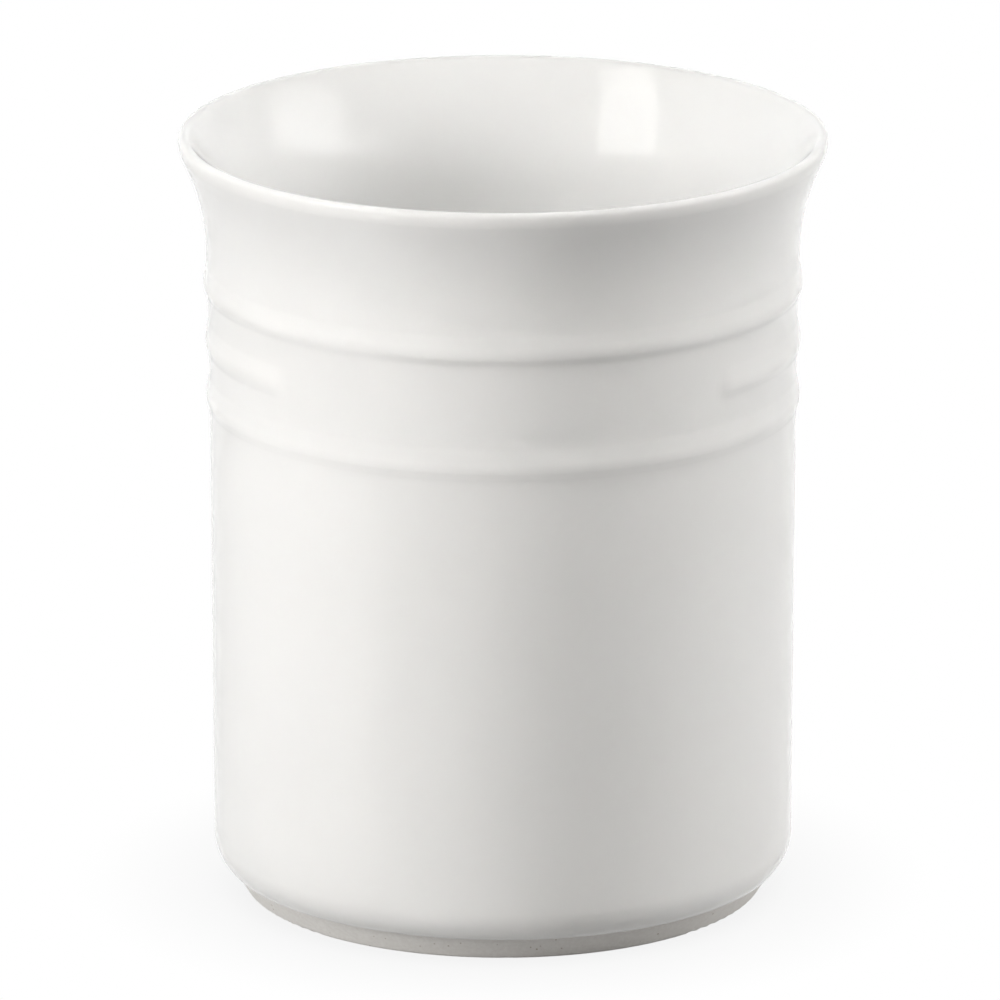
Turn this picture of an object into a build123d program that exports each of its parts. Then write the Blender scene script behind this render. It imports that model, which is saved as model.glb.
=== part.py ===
from build123d import *
import math
import os

# White glazed stoneware crock for kitchen utensils: a straight-sided pot with a flared mouth,
# three bead rings under the neck and a bare clay foot ring.
# Millimetres, +Z up, the foot stands on Z = 0, and the front of the pot faces -Y.
# Outside sizes are those of the finished, glazed surface.

# Height over all, and the wall's outside radius where it meets the base round
rim_height = 152.9
wall_base_radius = 57.3

# Mouth and lip
mouth_depth = 23.7
rim_overhang = 5.35
lip_outer_round = 1.0
lip_inner_round = 1.6
flare_shoulder_round = 6.4
mouth_angle = 40.0

# Bead rings: each has a soft upper side and an undercut lower edge
neck_to_top_crease = 7.5
ring_relief = 0.6
ring_rise = 1.5
ring_run = 4.7
ring_ledge = 0.44
plain_stretch = 2.2

# How much the wall widens over its height, and then past each ring, going up
wall_draft = 0.3
lower_band_step = 0.09
upper_band_step = 0.14
neck_step = 0.32

# The middle ring stops short of the front, where the wall between the outer two rings is plain
gap_half_angle = 46.3
gap_mask_offset = 30.0
ring_root = 2.0
ring_sink = 0.1

# Base round and foot ring
base_round = 8.4
base_sweep = 48.5
foot_height = 4.8
foot_inset = 6.2
foot_width = 4.6
foot_outer_round = 1.3
foot_inner_round = 0.7
recess_depth = 2.5
recess_corner_round = 1.0

# Well inside
wall_thickness = 5.3
floor_thickness = 5.5
well_cove_round = 9.0

# Glaze, which also gathers in a shallow pool under each ring
glaze_thickness = 0.4
pool_height = 3.0
pool_depth = 0.2
underside_glaze_margin = 2.6
underside_glaze_round = 0.25

# Radii and heights that follow from these
wall_top_radius = wall_base_radius + wall_draft
lower_band_radius = wall_top_radius + lower_band_step
upper_band_radius = lower_band_radius + upper_band_step
neck_radius = upper_band_radius + neck_step
rim_radius = neck_radius + rim_overhang
well_radius = wall_top_radius - wall_thickness
foot_radius = wall_base_radius - foot_inset
foot_inner_radius = foot_radius - foot_width
underside_glaze_radius = foot_inner_radius - underside_glaze_margin
ring_pitch = ring_rise + ring_run + plain_stretch + pool_height
neck_height = rim_height - mouth_depth
top_crease_height = neck_height - neck_to_top_crease
middle_crease_height = top_crease_height - ring_pitch
bottom_crease_height = middle_crease_height - ring_pitch
well_floor_height = recess_depth + floor_thickness


def on_circle(centre, radius, angle):
    """Point of a circle in the profile plane, with the angle in degrees from the outward direction."""
    turn = math.radians(angle)
    return (centre[0] + radius * math.cos(turn), centre[1] + radius * math.sin(turn))


def arc(centre, radius, start, end):
    """Circular edge about a centre, from one angle to another."""
    middle = (start + end) / 2
    return ThreePointArc(
        on_circle(centre, radius, start),
        on_circle(centre, radius, middle),
        on_circle(centre, radius, end),
    )


def start_of(edge):
    return edge @ 0


def end_of(edge):
    return edge @ 1


def base_round_edge(skin):
    """Outside corner from the foot up to the wall, a skin's depth under the glazed surface."""
    sweep = math.radians(base_sweep)
    centre = (wall_base_radius - base_round, foot_height + base_round * math.sin(sweep))
    return arc(centre, base_round - skin, -base_sweep, 0)


def ledge_root(crease_height, below_radius, skin):
    """Inner end of a ring's ledge; on the glazed surface the pool of glaze brings it forward."""
    depth = pool_depth if skin == 0 else 0
    return (below_radius - skin + depth, crease_height + skin)


def glaze_pool(crease_height, below_radius, skin):
    """Glaze that gathers under a ring's ledge; the clay under it has a sharp corner instead."""
    if skin > 0:
        return []
    pool_round = (pool_height ** 2 + pool_depth ** 2) / (2 * pool_depth)
    pool_angle = math.degrees(math.asin(pool_height / pool_round))
    centre = (below_radius + pool_round, crease_height - pool_height)
    return [arc(centre, pool_round, 180, 180 - pool_angle)]


def bead_edges(crease_height, below_radius, above_radius, skin, sink=0.0):
    """One bead ring, upwards: undercut ledge, lower round to the crest, then the soft upper side."""
    crest_radius = above_radius + ring_relief
    crest_height = crease_height + ring_rise
    reach = crest_radius - below_radius - ring_ledge
    under_round = (reach ** 2 + ring_rise ** 2) / (2 * reach)
    under_centre = (crest_radius - under_round, crest_height)
    ledge_angle = math.degrees(math.asin((ring_rise - skin) / (under_round - skin)))
    under = arc(under_centre, under_round - skin, -ledge_angle, 0)

    drop = ring_relief + sink
    soft_round = (drop ** 2 + ring_run ** 2) / (4 * drop)
    soft_angle = math.degrees(math.asin(ring_run / (2 * soft_round)))
    upper_centre = (crest_radius - soft_round, crest_height)
    return_centre = (crest_radius - drop + soft_round, crest_height + ring_run)
    upper = arc(upper_centre, soft_round - skin, 0, soft_angle)
    back = arc(return_centre, soft_round + skin, 180 + soft_angle, 180)

    pool = glaze_pool(crease_height, below_radius, skin)
    ledge = Line(ledge_root(crease_height, below_radius, skin), start_of(under))
    return [*pool, ledge, under, upper, back]


def flare_edges(skin):
    """Outside of the mouth, upwards: hollow sweep out of the neck, then the shoulder under the lip."""
    lip_height = rim_height - lip_outer_round
    spread = rim_radius - neck_radius
    climb = lip_height - neck_height
    lean = 2 * math.atan2(spread, climb)
    lean_degrees = math.degrees(lean)
    hollow_round = climb / math.sin(lean) - flare_shoulder_round
    hollow_centre = (neck_radius + hollow_round, neck_height)
    shoulder_centre = (rim_radius - flare_shoulder_round, lip_height)
    hollow = arc(hollow_centre, hollow_round + skin, 180, 180 - lean_degrees)
    shoulder = arc(shoulder_centre, flare_shoulder_round - skin, -lean_degrees, 0)
    return [hollow, shoulder]


def lip_edges(skin):
    """Rounded lip, over its crest from the outside to the inside."""
    crest_radius = rim_radius - lip_outer_round
    outer = arc((crest_radius, rim_height - lip_outer_round), lip_outer_round - skin, 0, 90)
    inner = arc((crest_radius, rim_height - lip_inner_round), lip_inner_round - skin, 90, 180 - mouth_angle)
    return [outer, inner]


def well_edges(skin):
    """Inside of the pot, downwards: mouth sweep, straight wall, cove and half the floor."""
    lean = math.radians(mouth_angle)
    lip_centre_radius = rim_radius - lip_outer_round
    lip_centre_height = rim_height - lip_inner_round
    spread = lip_centre_radius - lip_inner_round * math.cos(lean) - well_radius
    mouth_round = spread / (1 - math.cos(lean))
    mouth_height = lip_centre_height + (lip_inner_round - mouth_round) * math.sin(lean)
    mouth_centre = (well_radius + mouth_round, mouth_height)
    cove_centre = (well_radius - well_cove_round, well_floor_height + well_cove_round)

    mouth = arc(mouth_centre, mouth_round - skin, 180 - mouth_angle, 180)
    cove = arc(cove_centre, well_cove_round + skin, 0, -90)
    wall = Line(end_of(mouth), start_of(cove))
    floor = Line(end_of(cove), (0, well_floor_height - skin))
    return [mouth, wall, cove, floor]


def pot_edges(skin):
    """Whole glazed line, from the foot's crease up the outside, over the lip and down to the well's centre.

    The middle ring is left out here, because it doesn't go all the way round."""
    base = base_round_edge(skin)
    low_bead = bead_edges(bottom_crease_height, wall_top_radius, lower_band_radius, skin)
    top_bead = bead_edges(top_crease_height, upper_band_radius, neck_radius, skin)
    flare = flare_edges(skin)
    wall = Line(end_of(base), start_of(low_bead[0]))
    band = Line(end_of(low_bead[-1]), start_of(top_bead[0]))
    neck = Line(end_of(top_bead[-1]), start_of(flare[0]))
    return [base, wall, *low_bead, band, *top_bead, neck, *flare, *lip_edges(skin), *well_edges(skin)]


def foot_edges(skin):
    """Bare foot, from the underside's centre out and up to the crease; corners are square here."""
    recess_corner = (foot_inner_radius, recess_depth)
    inner_corner = (foot_inner_radius, 0)
    outer_corner = (foot_radius, 0)
    crease = start_of(base_round_edge(skin))
    ceiling = Line((0, recess_depth), recess_corner)
    inner_side = Line(recess_corner, inner_corner)
    bearing = Line(inner_corner, outer_corner)
    outer_side = Line(outer_corner, crease)
    return [ceiling, inner_side, bearing, outer_side]


def turned(face):
    """Solid of revolution of a profile drawn as radius across and height up."""
    return revolve(Plane.XZ * face, Axis.Z)


def round_corner(face, corner, radius):
    """Fillet the corner of a profile that lies at the given radius and height."""
    nearest = face.vertices().sort_by_distance(Vector(*corner))[0]
    return fillet(nearest, radius)


def clay_profile():
    """Half section of the bare clay, with the foot's corners rounded."""
    foot = foot_edges(glaze_thickness)
    line = pot_edges(glaze_thickness)
    axis_edge = Line(end_of(line[-1]), start_of(foot[0]))
    face = make_face([*foot, *line, axis_edge])
    face = round_corner(face, (foot_inner_radius, recess_depth), recess_corner_round)
    face = round_corner(face, (foot_inner_radius, 0), foot_inner_round)
    return round_corner(face, (foot_radius, 0), foot_outer_round)


def glaze_profile():
    """Half section of the glaze, between the finished surface and the clay under it."""
    outer = pot_edges(0)
    inner = pot_edges(glaze_thickness)
    foot_end = Line(start_of(inner[0]), start_of(outer[0]))
    axis_edge = Line(end_of(outer[-1]), end_of(inner[-1]))
    return make_face([foot_end, *outer, axis_edge, *inner])


def middle_ring(skin):
    """Middle bead, rooted in the wall and run out at both ends of the plain front.

    A round mask, set back from the pot's axis, lets it rise out of the wall over a few degrees."""
    edges = bead_edges(middle_crease_height, lower_band_radius, upper_band_radius, skin, ring_sink)
    root_radius = lower_band_radius - ring_root
    bottom = start_of(edges[0])
    top = end_of(edges[-1])
    root_bottom = (root_radius, bottom.Y)
    root_top = (root_radius, top.Y)
    closing = [Line(top, root_top), Line(root_top, root_bottom), Line(root_bottom, bottom)]
    bead = turned(make_face([*edges, *closing]))

    toward_gap = lower_band_radius * math.cos(math.radians(gap_half_angle))
    mask_radius = math.sqrt(
        lower_band_radius ** 2 + 2 * gap_mask_offset * toward_gap + gap_mask_offset ** 2
    )
    mask = Cylinder(mask_radius - skin, rim_height, align=(Align.CENTER, Align.CENTER, Align.MIN))
    return bead & (Pos(0, gap_mask_offset, 0) * mask)


def make_stoneware_body():
    return turned(clay_profile()) + middle_ring(glaze_thickness)


def make_glaze_coat(body):
    """Glaze over the outside, the lip and the well, as one skin on the clay."""
    return turned(glaze_profile()) + middle_ring(0) - body


def make_underside_glaze():
    """Thin glazed disc on the recessed underside, kept clear of the foot ring's corner."""
    disc = Cylinder(underside_glaze_radius, glaze_thickness, align=(Align.CENTER, Align.CENTER, Align.MAX))
    disc = Pos(0, 0, recess_depth) * disc
    lower_rim = disc.edges().sort_by(Axis.Z)[0]
    return fillet(lower_rim, underside_glaze_round)


body = make_stoneware_body()
nodes = {
    "stoneware_body": body,
    "glaze_coat": make_glaze_coat(body),
    "underside_glaze": make_underside_glaze(),
}

os.makedirs("parts", exist_ok=True)
for name, shape in nodes.items():
    export_step(shape, f"parts/{name}.step")
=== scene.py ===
import math

import bpy
import numpy as np
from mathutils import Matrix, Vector, noise


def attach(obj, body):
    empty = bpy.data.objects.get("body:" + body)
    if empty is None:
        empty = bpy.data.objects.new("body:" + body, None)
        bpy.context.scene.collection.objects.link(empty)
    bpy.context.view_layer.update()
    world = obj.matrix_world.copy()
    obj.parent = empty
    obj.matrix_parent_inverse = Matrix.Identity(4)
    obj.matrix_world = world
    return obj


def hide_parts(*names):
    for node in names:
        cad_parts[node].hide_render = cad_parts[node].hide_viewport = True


# Looks of a white glazed stoneware crock for kitchen utensils.
# +Z up, the foot stands on Z = 0, and the front of the pot faces -Y.
# The pot's own sizes are in millimetres, as a potter would give them; those of the floor,
# the camera, the lamps and the cards are in metres. Angles are in degrees.

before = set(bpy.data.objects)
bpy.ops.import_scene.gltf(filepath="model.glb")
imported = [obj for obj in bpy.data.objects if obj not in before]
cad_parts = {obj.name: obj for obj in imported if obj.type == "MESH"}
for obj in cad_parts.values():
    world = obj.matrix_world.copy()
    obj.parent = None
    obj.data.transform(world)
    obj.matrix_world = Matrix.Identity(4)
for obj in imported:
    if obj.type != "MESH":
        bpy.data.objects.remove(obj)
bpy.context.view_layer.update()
scene = bpy.context.scene
scene.view_settings.view_transform = "Standard"
metres_per_mm = 0.001

# Height over all, and the wall's outside radius where it meets the base round
rim_height = 152.9
wall_base_radius = 57.3

# Mouth and lip
mouth_depth = 23.7
rim_overhang = 5.35
lip_outer_round = 1.0
lip_inner_round = 1.6
flare_shoulder_round = 6.4
mouth_angle = 40.0

# Bead rings: each has a soft upper side and an undercut lower edge
neck_to_top_crease = 7.5
ring_relief = 0.6
ring_rise = 1.5
ring_run = 4.7
ring_ledge = 0.44
plain_stretch = 1.0

# How much the wall widens over its height, and then past each ring, going up
wall_draft = 0.3
lower_band_step = 0.09
upper_band_step = 0.14
neck_step = 0.32

# The middle ring stops short of the front and sinks into the wall over a short run
gap_half_angle = 46.3
ring_end_run = 3.0

# Base round, foot and well
base_round = 8.4
base_sweep = 48.5
foot_height = 4.8
recess_depth = 2.5
wall_thickness = 5.3
floor_thickness = 5.5
well_cove_round = 9.0

# Glaze: how thick it lies, where it pools, and how far it softens the clay's corners
glaze_thickness = 0.4
pool_height = 4.2
pool_depth = 0.3
lip_softening = 0.3
ring_softening = 0.55

# Long, low swells of the glaze, which die out toward the middle of the well's floor
glaze_wave_length = 20.0
glaze_wave_height = 0.03
calm_radius = 10.0

# How finely the glaze is meshed: the shown side closely, the side against the clay coarsely
fine_step = 0.05
sides = 320
shown_turn = 4.0
shown_run = 2.5
hidden_turn = 12.0
hidden_run = 12.0

# Glaze colour and its clouding, its uneven gloss, its ripple, and how deep light goes into it
glaze_colour = (0.890, 0.889, 0.882)
glaze_cloud_colour = (0.877, 0.874, 0.865)
cloud_size = 40.0
cloud_detail = 3.0
cloud_blend = (0.3, 0.7)
gloss_patch_size = 12.0
gloss_patch_detail = 2.0
glaze_roughness = (0.03, 0.06)
ripple_size = 4.0
ripple_detail = 1.0
ripple_depth = 0.004
glow_depth = 1.5

# Bare clay: its colour, matt surface, grain and specks
clay_colour = (0.88, 0.865, 0.84)
clay_grain_colour = (0.83, 0.81, 0.785)
clay_roughness = 0.72
grain_size = 0.8
grain_detail = 4.0
grain_blend = (0.35, 0.65)
grain_depth = 0.03
speck_spacing = 2.5
speck_blend = (0.06, 0.1)
speck_tint = (0.55, 0.5, 0.45)

# Floor, a hair under the foot, its soft shadow round the foot, and the world's own light
floor_grey = 0.40
floor_half_width = 3.0
floor_drop = 0.00005
shadow_reach = 0.03
shadow_tone = 0.86
world_light = 0.0

# Lamps and cards: their tints, how far out they stand, and what the lamps point at
white = (1.0, 1.0, 1.0)
warm_light = (1.0, 0.97, 0.93)
neutral_light = (1.0, 0.99, 0.97)
cool_light = (0.93, 0.97, 1.0)
lamp_distance = 1.2
lamp_aim_height = 0.08
card_distance = 1.2
card_bottom = 0.29

# Camera: a long lens from the front and a little above
aim_point = (-0.00059, 0.0, 0.0781)
camera_distance = 2.2
camera_elevation = 16.17
camera_reach = 20.0
lens_mm = 402.0
sensor_mm = 36.0

# Radii and heights that follow from these; below the neck, the well lies within its limit radius
wall_top_radius = wall_base_radius + wall_draft
lower_band_radius = wall_top_radius + lower_band_step
upper_band_radius = lower_band_radius + upper_band_step
neck_radius = upper_band_radius + neck_step
rim_radius = neck_radius + rim_overhang
well_radius = wall_top_radius - wall_thickness
well_limit_radius = well_radius + 1
ring_height = ring_rise + ring_run
ring_pitch = ring_height + plain_stretch + pool_height
neck_height = rim_height - mouth_depth
top_crease_height = neck_height - neck_to_top_crease
middle_crease_height = top_crease_height - ring_pitch
bottom_crease_height = middle_crease_height - ring_pitch
well_floor_height = recess_depth + floor_thickness


def arc(centre, radius, start, end):
    """Points of a circular arc in the profile plane, with angles counted from the outward direction."""
    length = abs(math.radians(end - start)) * radius
    turns = np.radians(np.linspace(start, end, max(2, math.ceil(length / fine_step) + 1)))
    return np.column_stack((centre[0] + radius * np.cos(turns), centre[1] + radius * np.sin(turns)))


def line(start, end):
    """Points of a straight stretch of the profile."""
    length = math.dist(start, end)
    shares = np.linspace(0, 1, max(2, math.ceil(length / fine_step) + 1))[:, None]
    return np.array(start) + shares * (np.array(end) - np.array(start))


def base_round_points(skin):
    """Outside corner from the foot up to the wall, a skin's depth under the glazed surface."""
    sweep = math.radians(base_sweep)
    centre = (wall_base_radius - base_round, foot_height + base_round * math.sin(sweep))
    return arc(centre, base_round - skin, -base_sweep, 0)


def bead_points(crease_height, below_radius, above_radius, skin):
    """One bead ring, upwards: pool of glaze, undercut ledge, lower round to the crest, soft upper side."""
    crest_radius = above_radius + ring_relief
    crest_height = crease_height + ring_rise
    reach = crest_radius - below_radius - ring_ledge
    under_round = (reach ** 2 + ring_rise ** 2) / (2 * reach)
    ledge_angle = math.degrees(math.asin((ring_rise - skin) / (under_round - skin)))
    under = arc((crest_radius - under_round, crest_height), under_round - skin, -ledge_angle, 0)

    soft_round = (ring_relief ** 2 + ring_run ** 2) / (4 * ring_relief)
    soft_angle = math.degrees(math.asin(ring_run / (2 * soft_round)))
    upper = arc((crest_radius - soft_round, crest_height), soft_round - skin, 0, soft_angle)
    return_centre = (above_radius + soft_round, crest_height + ring_run)
    back = arc(return_centre, soft_round + skin, 180 + soft_angle, 180)

    if skin > 0:
        root = (below_radius - skin, crease_height + skin)
        return [line(root, under[0]), under, upper, back]
    pool_round = (pool_height ** 2 + pool_depth ** 2) / (2 * pool_depth)
    pool_angle = math.degrees(math.asin(pool_height / pool_round))
    pool_centre = (below_radius + pool_round, crease_height - pool_height)
    pool = arc(pool_centre, pool_round, 180, 180 - pool_angle)
    return [pool, line((below_radius + pool_depth, crease_height), under[0]), under, upper, back]


def flare_points(skin):
    """Outside of the mouth, upwards: hollow sweep out of the neck, then the shoulder under the lip."""
    lip_height = rim_height - lip_outer_round
    climb = lip_height - neck_height
    lean = 2 * math.atan2(rim_overhang, climb)
    lean_degrees = math.degrees(lean)
    hollow_round = climb / math.sin(lean) - flare_shoulder_round
    hollow = arc((neck_radius + hollow_round, neck_height), hollow_round + skin, 180, 180 - lean_degrees)
    shoulder_centre = (rim_radius - flare_shoulder_round, lip_height)
    shoulder = arc(shoulder_centre, flare_shoulder_round - skin, -lean_degrees, 0)
    return [hollow, shoulder]


def lip_points(skin):
    """Rounded lip, over its crest from the outside to the inside."""
    crest_radius = rim_radius - lip_outer_round
    outer = arc((crest_radius, rim_height - lip_outer_round), lip_outer_round - skin, 0, 90)
    inner = arc((crest_radius, rim_height - lip_inner_round), lip_inner_round - skin, 90, 180 - mouth_angle)
    return [outer, inner]


def well_points(skin):
    """Inside of the pot, downwards: mouth sweep, straight wall, cove and half the floor."""
    lean = math.radians(mouth_angle)
    lip_centre_height = rim_height - lip_inner_round
    spread = rim_radius - lip_outer_round - lip_inner_round * math.cos(lean) - well_radius
    mouth_round = spread / (1 - math.cos(lean))
    mouth_height = lip_centre_height + (lip_inner_round - mouth_round) * math.sin(lean)
    mouth = arc((well_radius + mouth_round, mouth_height), mouth_round - skin, 180 - mouth_angle, 180)
    cove_centre = (well_radius - well_cove_round, well_floor_height + well_cove_round)
    cove = arc(cove_centre, well_cove_round + skin, 0, -90)
    return [mouth, line(mouth[-1], cove[0]), cove, line(cove[-1], (0.0, well_floor_height - skin))]


def joined(pieces):
    """One run of points, with straight lines where two pieces don't meet."""
    run = pieces[0]
    for piece in pieces[1:]:
        gap = math.dist(run[-1], piece[0])
        link = line(run[-1], piece[0])[1:] if gap > fine_step else np.empty((0, 2))
        run = np.vstack((run, link, piece[1:]))
    return run


def band_radius_at(heights):
    """Radius of the plain wall between the outer two rings, where the middle ring is left out."""
    start = bottom_crease_height + ring_height
    end = top_crease_height - pool_height
    return np.interp(heights, (start, end), (lower_band_radius, upper_band_radius))


def glaze_outside():
    """Glazed surface from the foot's crease up the outside, over the lip and down to the well's centre."""
    base = base_round_points(0)
    edge = line(base_round_points(glaze_thickness)[0], base[0])
    low_bead = bead_points(bottom_crease_height, wall_top_radius, lower_band_radius, 0)
    middle_bead = bead_points(middle_crease_height, lower_band_radius, upper_band_radius, 0)
    top_bead = bead_points(top_crease_height, upper_band_radius, neck_radius, 0)
    outside = [edge, base, *low_bead, *middle_bead, *top_bead, *flare_points(0)]
    return joined([*outside, *lip_points(0), *well_points(0)])


def glaze_inside():
    """Hidden side of the glaze, against the clay, from the foot's crease to the well's centre."""
    low_bead = bead_points(bottom_crease_height, wall_top_radius, lower_band_radius, glaze_thickness)
    top_bead = bead_points(top_crease_height, upper_band_radius, neck_radius, glaze_thickness)
    outside = [base_round_points(glaze_thickness), *low_bead, *top_bead, *flare_points(glaze_thickness)]
    return joined([*outside, *lip_points(glaze_thickness), *well_points(glaze_thickness)])


def lengths_along(points):
    """How far along the line each of its points lies."""
    return np.concatenate(([0.0], np.cumsum(np.hypot(*np.diff(points, axis=0).T))))


def softened(points, spread):
    """The same line with its corners melted, as glaze does when it is fired; its ends stay put.

    Each place becomes a bell-weighted mean of the line round it, out to four spreads."""
    lengths = lengths_along(points)
    even = np.linspace(0, lengths[-1], math.ceil(lengths[-1] / fine_step) + 1)
    evened = np.column_stack([np.interp(even, lengths, points[:, axis]) for axis in (0, 1)])
    reach = math.ceil(4 * spread / fine_step)
    offsets = np.arange(-reach, reach + 1) * fine_step
    weights = np.exp(-0.5 * (offsets / spread) ** 2)
    weights = weights / weights.sum()
    before = 2 * evened[0] - evened[reach:0:-1]
    after = 2 * evened[-1] - evened[-2:-reach - 2:-1]
    padded = np.vstack((before, evened, after))
    return np.column_stack([np.convolve(padded[:, axis], weights, "valid") for axis in (0, 1)])


def melted_outside():
    """Glazed surface with the rings' corners melted more than the lip's and the foot's."""
    sharp = glaze_outside()
    firm = softened(sharp, lip_softening)
    soft = softened(sharp, ring_softening)
    outside = firm[:, 0] > well_limit_radius
    above = firm[:, 1] > bottom_crease_height - 2 * pool_height
    below = firm[:, 1] < neck_height
    return np.where((outside & above & below)[:, None], soft, firm)


def thinned(points, turn_limit, run_limit):
    """Fewer points, close together where the line turns and wide apart where it is straight."""
    steps = np.diff(points, axis=0)
    headings = np.unwrap(np.arctan2(steps[:, 1], steps[:, 0]))
    kept = [0]
    for index in range(1, len(points) - 1):
        turned = abs(math.degrees(headings[index] - headings[kept[-1]]))
        travelled = math.dist(points[index], points[kept[-1]])
        if turned > turn_limit or travelled > run_limit:
            kept.append(index)
    return points[[*kept, len(points) - 1]]


def outward_normals(points):
    """Unit normals of a line that runs up the outside, which point away from the clay."""
    along = np.gradient(points, axis=0)
    along = along / np.hypot(along[:, 0], along[:, 1])[:, None]
    return np.column_stack((along[:, 1], -along[:, 0]))


def ring_share(angle_from_front):
    """How much of the middle ring stands out of the wall: none at the front, all of it at the sides."""
    beyond = math.radians(angle_from_front - gap_half_angle) * lower_band_radius
    share = min(1.0, max(0.0, beyond / ring_end_run))
    return share * share * (3 - 2 * share)


def glaze_swell(radius, turn, height):
    """How far the glaze swells out at a place, in millimetres."""
    place = Vector((radius * math.sin(turn), -radius * math.cos(turn), height)) / glaze_wave_length
    return glaze_wave_height * noise.noise(place) * min(1.0, radius / calm_radius)


def shown_columns(shown):
    """One line of the shown surface per side, with the middle ring's plain front and the swells."""
    normals = outward_normals(shown)
    ring_low = middle_crease_height - pool_height
    ring_high = middle_crease_height + ring_height
    on_ring = (shown[:, 1] > ring_low) & (shown[:, 1] < ring_high) & (shown[:, 0] > well_limit_radius)
    plain = np.where(on_ring, band_radius_at(shown[:, 1]), shown[:, 0])
    full = np.maximum(shown[:, 0], plain)
    columns = []
    for side in range(sides):
        turn = 2 * math.pi * side / sides
        from_front = min(360 * side / sides, 360 - 360 * side / sides)
        column = np.column_stack((plain + ring_share(from_front) * (full - plain), shown[:, 1]))
        for row, (radius, height) in enumerate(column):
            column[row] += glaze_swell(radius, turn, height) * normals[row]
        columns.append(column)
    return columns


def lathe_mesh(name, columns):
    """Closed mesh from one profile per side, each from a first to a last point on or off the axis."""
    count = len(columns[0])
    vertices = []
    rings = []
    for row in range(count):
        if columns[0][row][0] < fine_step:
            rings.append([len(vertices)] * len(columns))
            vertices.append((0.0, 0.0, columns[0][row][1] * metres_per_mm))
            continue
        ring = []
        for side, column in enumerate(columns):
            turn = 2 * math.pi * side / len(columns)
            radius, height = column[row] * metres_per_mm
            ring.append(len(vertices))
            vertices.append((radius * math.sin(turn), -radius * math.cos(turn), height))
        rings.append(ring)
    faces = []
    for low, high in zip(rings, [*rings[1:], rings[0]]):
        for side in range(len(columns)):
            beside = (side + 1) % len(columns)
            corners = (low[side], low[beside], high[beside], high[side])
            face = tuple(dict.fromkeys(corners))
            if len(face) > 2:
                faces.append(face)
    mesh = bpy.data.meshes.new(name)
    mesh.from_pydata(vertices, [], faces)
    mesh.validate()
    mesh.shade_smooth()
    return mesh


def make_glaze():
    """The glaze coat, turned: its shown surface, closed by the hidden side that lies on the clay."""
    shown = thinned(melted_outside(), shown_turn, shown_run)
    hidden = thinned(glaze_inside(), hidden_turn, hidden_run)[::-1]
    columns = [np.vstack((column, hidden)) for column in shown_columns(shown)]
    piece = bpy.data.objects.new("glaze", lathe_mesh("glaze", columns))
    scene.collection.objects.link(piece)
    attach(piece, "root")
    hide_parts("glaze_coat")
    return piece


def new_material(name):
    """Empty node material, with its nodes and its links."""
    material = bpy.data.materials.new(name)
    material.use_nodes = True
    material.node_tree.nodes.clear()
    return material, material.node_tree.nodes, material.node_tree.links


def finished(nodes, links, surface, kind="ShaderNodeOutputMaterial"):
    """Leads a surface to the output of its material, or of the world where the kind says so."""
    output = nodes.new(kind)
    links.new(surface, output.inputs["Surface"])


def noise_share(nodes, links, cell_mm, detail):
    """Noise from 0 to 1 fixed to the piece, with cells of about the given size."""
    place = nodes.new("ShaderNodeTexCoord")
    texture = nodes.new("ShaderNodeTexNoise")
    texture.inputs["Scale"].default_value = 1 / (cell_mm * metres_per_mm)
    texture.inputs["Detail"].default_value = detail
    links.new(place.outputs["Object"], texture.inputs["Vector"])
    return texture.outputs["Fac"]


def speck_share(nodes, links):
    """How far each place is from the nearest speck, as a share of the specks' spacing."""
    place = nodes.new("ShaderNodeTexCoord")
    cells = nodes.new("ShaderNodeTexVoronoi")
    cells.inputs["Scale"].default_value = 1 / (speck_spacing * metres_per_mm)
    links.new(place.outputs["Object"], cells.inputs["Vector"])
    return cells.outputs["Distance"]


def two_colours(nodes, links, share, blend, first, second):
    """First colour below the blend's two shares, second above them, and a mix of both between."""
    ramp = nodes.new("ShaderNodeValToRGB")
    for stop, position, colour in zip(ramp.color_ramp.elements, blend, (first, second)):
        stop.position = position
        stop.color = (*colour, 1.0)
    links.new(share, ramp.inputs["Fac"])
    return ramp.outputs["Color"]


def scaled(nodes, links, share, low, high):
    """Number that goes from low to high as the share goes from 0 to 1."""
    scale = nodes.new("ShaderNodeMapRange")
    scale.inputs["To Min"].default_value = low
    scale.inputs["To Max"].default_value = high
    links.new(share, scale.inputs["Value"])
    return scale.outputs["Result"]


def combined(nodes, links, operation, first, second):
    """Two numbers put together by a named operation."""
    both = nodes.new("ShaderNodeMath")
    both.operation = operation
    links.new(first, both.inputs[0])
    links.new(second, both.inputs[1])
    return both.outputs["Value"]


def bumped(nodes, links, share, depth_mm):
    """Normal of a surface whose fine relief is as deep as given where the share is 1."""
    bump = nodes.new("ShaderNodeBump")
    bump.inputs["Strength"].default_value = 1.0
    bump.inputs["Distance"].default_value = depth_mm * metres_per_mm
    links.new(share, bump.inputs["Height"])
    return bump.outputs["Normal"]


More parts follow.
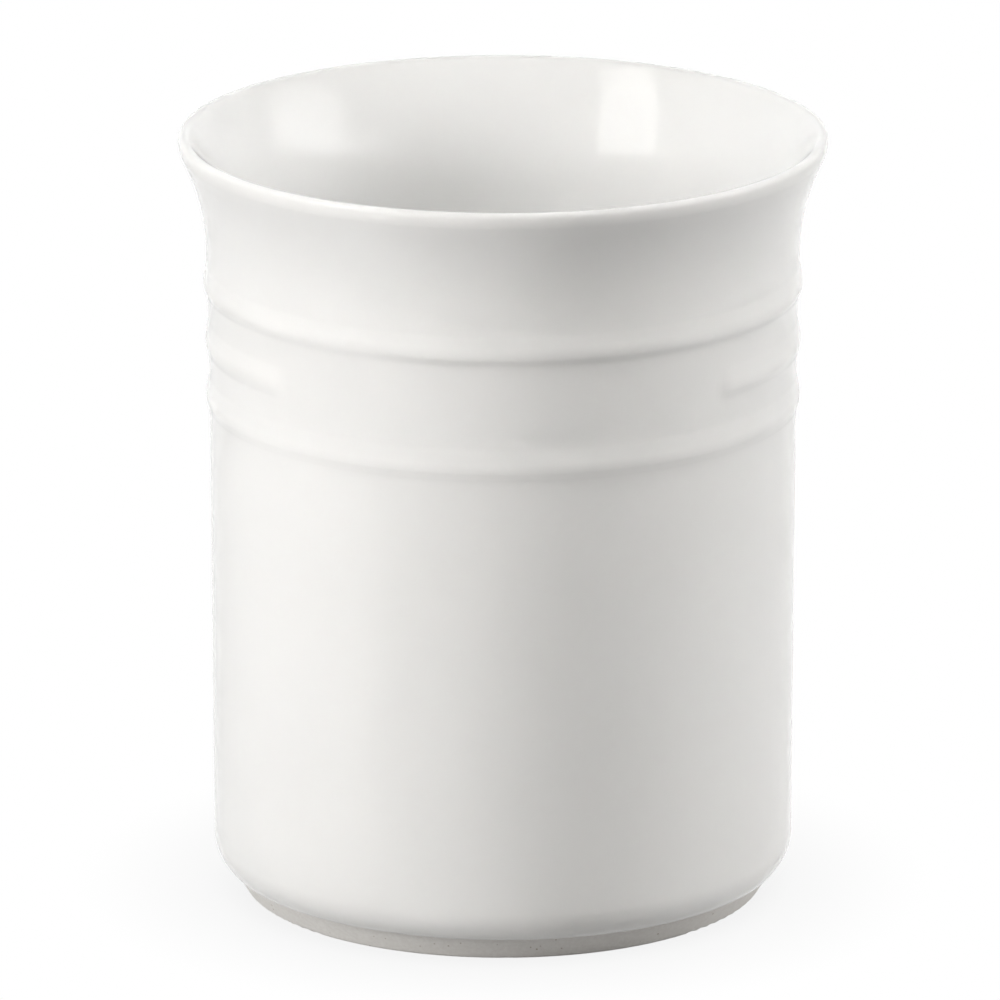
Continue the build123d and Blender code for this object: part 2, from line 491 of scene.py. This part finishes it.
def glaze_material():
    """Glossy, slightly translucent white glaze: faint clouding, a barely uneven gloss, a fine ripple."""
    material, nodes, links = new_material("fired_glaze")
    clouds = noise_share(nodes, links, cloud_size, cloud_detail)
    patches = noise_share(nodes, links, gloss_patch_size, gloss_patch_detail)
    ripple = noise_share(nodes, links, ripple_size, ripple_detail)
    colour = two_colours(nodes, links, clouds, cloud_blend, glaze_colour, glaze_cloud_colour)
    shader = nodes.new("ShaderNodeBsdfPrincipled")
    links.new(colour, shader.inputs["Base Color"])
    links.new(scaled(nodes, links, patches, *glaze_roughness), shader.inputs["Roughness"])
    links.new(bumped(nodes, links, ripple, ripple_depth), shader.inputs["Normal"])
    shader.subsurface_method = "BURLEY"
    shader.inputs["Subsurface Weight"].default_value = 1.0
    shader.inputs["Subsurface Radius"].default_value = (1.0, 1.0, 1.0)
    shader.inputs["Subsurface Scale"].default_value = glow_depth * metres_per_mm
    finished(nodes, links, shader.outputs["BSDF"])
    return material


def clay_material():
    """Bare fired stoneware: matt, pale and warm, with fine grain and a few darker specks."""
    material, nodes, links = new_material("bare_clay")
    grain = noise_share(nodes, links, grain_size, grain_detail)
    body = two_colours(nodes, links, grain, grain_blend, clay_colour, clay_grain_colour)
    specks = two_colours(nodes, links, speck_share(nodes, links), speck_blend, speck_tint, white)
    speckled = nodes.new("ShaderNodeVectorMath")
    speckled.operation = "MULTIPLY"
    links.new(body, speckled.inputs[0])
    links.new(specks, speckled.inputs[1])
    shader = nodes.new("ShaderNodeBsdfPrincipled")
    shader.inputs["Roughness"].default_value = clay_roughness
    links.new(speckled.outputs["Vector"], shader.inputs["Base Color"])
    links.new(bumped(nodes, links, grain, grain_depth), shader.inputs["Normal"])
    finished(nodes, links, shader.outputs["BSDF"])
    return material


def background_share(nodes, links):
    """1 for the rays that show the background, from the camera, off gloss or through glass; else 0."""
    rays = nodes.new("ShaderNodeLightPath")
    share = rays.outputs["Is Camera Ray"]
    for kind in ("Is Glossy Ray", "Is Transmission Ray"):
        share = combined(nodes, links, "MAXIMUM", share, rays.outputs[kind])
    return share


def seen_or_lit(nodes, links, seen, lit):
    """One shader for the rays that show the background, the other for those that light the pot."""
    mix = nodes.new("ShaderNodeMixShader")
    links.new(background_share(nodes, links), mix.inputs["Fac"])
    links.new(lit, mix.inputs[1])
    links.new(seen, mix.inputs[2])
    return mix.outputs["Shader"]


def floor_material():
    """White where it is seen, with the pot's soft shadow; it gives the pot light back as pale grey."""
    material, nodes, links = new_material("pale_floor")
    bounce = nodes.new("ShaderNodeBsdfDiffuse")
    bounce.inputs["Color"].default_value = (floor_grey, floor_grey, floor_grey, 1.0)
    openness = nodes.new("ShaderNodeAmbientOcclusion")
    openness.inputs["Distance"].default_value = shadow_reach
    shaded = nodes.new("ShaderNodeEmission")
    links.new(scaled(nodes, links, openness.outputs["AO"], shadow_tone, 1.0), shaded.inputs["Strength"])
    surface = seen_or_lit(nodes, links, shaded.outputs["Emission"], bounce.outputs["BSDF"])
    finished(nodes, links, surface)
    return material


def add_floor():
    """Wide square floor that the pot stands on."""
    half = floor_half_width
    corners = [(-half, -half), (half, -half), (half, half), (-half, half)]
    mesh = bpy.data.meshes.new("floor")
    mesh.from_pydata([(*corner, -floor_drop) for corner in corners], [], [(0, 1, 2, 3)])
    mesh.materials.append(floor_material())
    floor = bpy.data.objects.new("floor", mesh)
    scene.collection.objects.link(floor)


def white_sky(nodes, strength):
    """The same white from every side."""
    sky = nodes.new("ShaderNodeBackground")
    sky.inputs["Color"].default_value = (*white, 1.0)
    sky.inputs["Strength"].default_value = strength
    return sky.outputs["Background"]


def add_world():
    """White where it is seen, while the pot's light is left to the lamps."""
    world = bpy.data.worlds.new("studio")
    world.use_nodes = True
    nodes = world.node_tree.nodes
    links = world.node_tree.links
    nodes.clear()
    surface = seen_or_lit(nodes, links, white_sky(nodes, 1.0), white_sky(nodes, world_light))
    finished(nodes, links, surface, "ShaderNodeOutputWorld")
    scene.world = world


def add_lamp(name, tint, brightness, azimuth, elevation, spread):
    """Soft lamp that no gloss shows; its spread is across and up, and a brightness of 1 gives white.

    Azimuth 0 is the front and goes round to the right."""
    turn = math.radians(azimuth)
    lift = math.radians(elevation)
    across, up = (2 * lamp_distance * math.tan(math.radians(angle / 2)) for angle in spread)
    data = bpy.data.lights.new(name, "AREA")
    data.shape = "RECTANGLE"
    data.size = across * math.cos(lift)
    data.size_y = up
    data.energy = math.pi * data.size * data.size_y * brightness
    data.color = tint
    lamp = bpy.data.objects.new(name, data)
    away = lamp_distance * math.cos(lift)
    height = lamp_aim_height + lamp_distance * math.sin(lift)
    lamp.location = (away * math.sin(turn), -away * math.cos(turn), height)
    lamp.rotation_euler = (math.pi / 2 - lift, 0.0, turn)
    lamp.visible_glossy = False
    lamp.visible_camera = False
    scene.collection.objects.link(lamp)


def add_lamps():
    """A bank of lamps at each side, which leaves the wall between them darker, and softer ones round it."""
    add_lamp("left_low", neutral_light, 9.0, azimuth=-69.0, elevation=5.0, spread=(14.0, 16.0))
    add_lamp("left_middle", neutral_light, 16.2, azimuth=-66.0, elevation=22.0, spread=(14.0, 20.0))
    add_lamp("left_high", cool_light, 0.8, azimuth=-65.0, elevation=42.0, spread=(20.0, 22.0))
    add_lamp("right_low", warm_light, 5.8, azimuth=98.0, elevation=6.0, spread=(14.0, 18.0))
    add_lamp("right_middle", neutral_light, 17.4, azimuth=96.0, elevation=23.0, spread=(14.0, 20.0))
    add_lamp("right_high", neutral_light, 1.2, azimuth=92.0, elevation=43.0, spread=(20.0, 22.0))
    add_lamp("back", cool_light, 6.0, azimuth=182.0, elevation=27.0, spread=(60.0, 20.0))
    add_lamp("front", warm_light, 6.8, azimuth=-8.0, elevation=47.0, spread=(40.0, 24.0))
    add_lamp("top", cool_light, 12.0, azimuth=0.0, elevation=88.0, spread=(40.0, 40.0))


def edge_share(nodes, links, across, edge, fade):
    """0 at one edge of a card, and 1 from the end of that edge's fade on."""
    ramp = nodes.new("ShaderNodeMapRange")
    ramp.interpolation_type = "SMOOTHSTEP"
    ramp.inputs["From Min"].default_value = edge
    ramp.inputs["From Max"].default_value = edge * (1.0 - fade)
    links.new(across, ramp.inputs["Value"])
    return ramp.outputs["Result"]


def card_material(name, glow, fades):
    """Clear card whose glow is added to what lies behind it and fades out toward its edges."""
    material, nodes, links = new_material(name)
    place = nodes.new("ShaderNodeTexCoord")
    split = nodes.new("ShaderNodeSeparateXYZ")
    links.new(place.outputs["Object"], split.inputs["Vector"])
    shares = []
    for axis, edge, fade in zip("XXYY", (-1.0, 1.0, -1.0, 1.0), fades):
        shares.append(edge_share(nodes, links, split.outputs[axis], edge, fade))
    share = shares[0]
    for other in shares[1:]:
        share = combined(nodes, links, "MULTIPLY", share, other)
    shine = nodes.new("ShaderNodeEmission")
    clear = nodes.new("ShaderNodeBsdfTransparent")
    both = nodes.new("ShaderNodeAddShader")
    links.new(scaled(nodes, links, share, 0.0, glow), shine.inputs["Strength"])
    links.new(shine.outputs["Emission"], both.inputs[0])
    links.new(clear.outputs["BSDF"], both.inputs[1])
    finished(nodes, links, both.outputs["Shader"])
    return material


def add_card(name, glow, fades, azimuth, width, top, bottom=card_bottom, distance=card_distance, lean=0.0):
    """Card that lights nothing: only the gloss of the glaze shows it, like a bright screen in a studio.

    Its fades are those of the left, right, bottom and top edges, as shares of its half width or height."""
    turn = math.radians(azimuth)
    mesh = bpy.data.meshes.new(name)
    mesh.from_pydata([(-1, -1, 0), (1, -1, 0), (1, 1, 0), (-1, 1, 0)], [], [(0, 1, 2, 3)])
    mesh.materials.append(card_material(name, glow, fades))
    card = bpy.data.objects.new(name, mesh)
    card.scale = (width / 2, (top - bottom) / 2, 1.0)
    card.location = (distance * math.sin(turn), -distance * math.cos(turn), (bottom + top) / 2)
    card.rotation_euler = (math.pi / 2, math.radians(lean), turn)
    card.visible_camera = False
    card.visible_diffuse = False
    card.visible_transmission = False
    card.visible_shadow = False
    scene.collection.objects.link(card)


def add_cards():
    """A tall crisp card for the right of the mouth, two soft ones for its left, and a sheen on the wall."""
    crisp = (0.05, 0.05, 0.05, 0.05)
    add_card("left_reflection", 2.3, crisp, azimuth=-60.5, width=0.6, top=2.1, lean=-9.0)
    add_card("right_reflection", 2.2, (0.4, 0.6, 0.4, 0.3), azimuth=93.0, width=1.02, top=1.3)
    add_card("right_low_reflection", 1.6, (0.4, 0.4, 0.8, 0.4), azimuth=73.0, width=1.0, top=0.66)
    add_card(
        "wall_reflection", 0.6, (1.6, 0.1, 0.1, 0.2),
        azimuth=-75.0, distance=0.085, width=0.134, bottom=0.0, top=0.1,
    )


def add_camera():
    """The photograph's view of the pot."""
    lift = math.radians(camera_elevation)
    data = bpy.data.cameras.new("photo_camera")
    data.lens = lens_mm
    data.sensor_width = sensor_mm
    data.clip_end = camera_reach
    camera = bpy.data.objects.new("photo_camera", data)
    back = camera_distance * math.cos(lift)
    up = camera_distance * math.sin(lift)
    camera.location = (aim_point[0], aim_point[1] - back, aim_point[2] + up)
    camera.rotation_euler = (math.pi / 2 - lift, 0.0, 0.0)
    scene.collection.objects.link(camera)
    scene.camera = camera


glaze = glaze_material()
clay = clay_material()
glaze_piece = make_glaze()
glaze_piece.data.materials.append(glaze)
for name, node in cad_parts.items():
    node.data.materials.clear()
    node.data.materials.append(clay if name == "stoneware_body" else glaze)

add_floor()
add_world()
add_lamps()
add_cards()
add_camera()
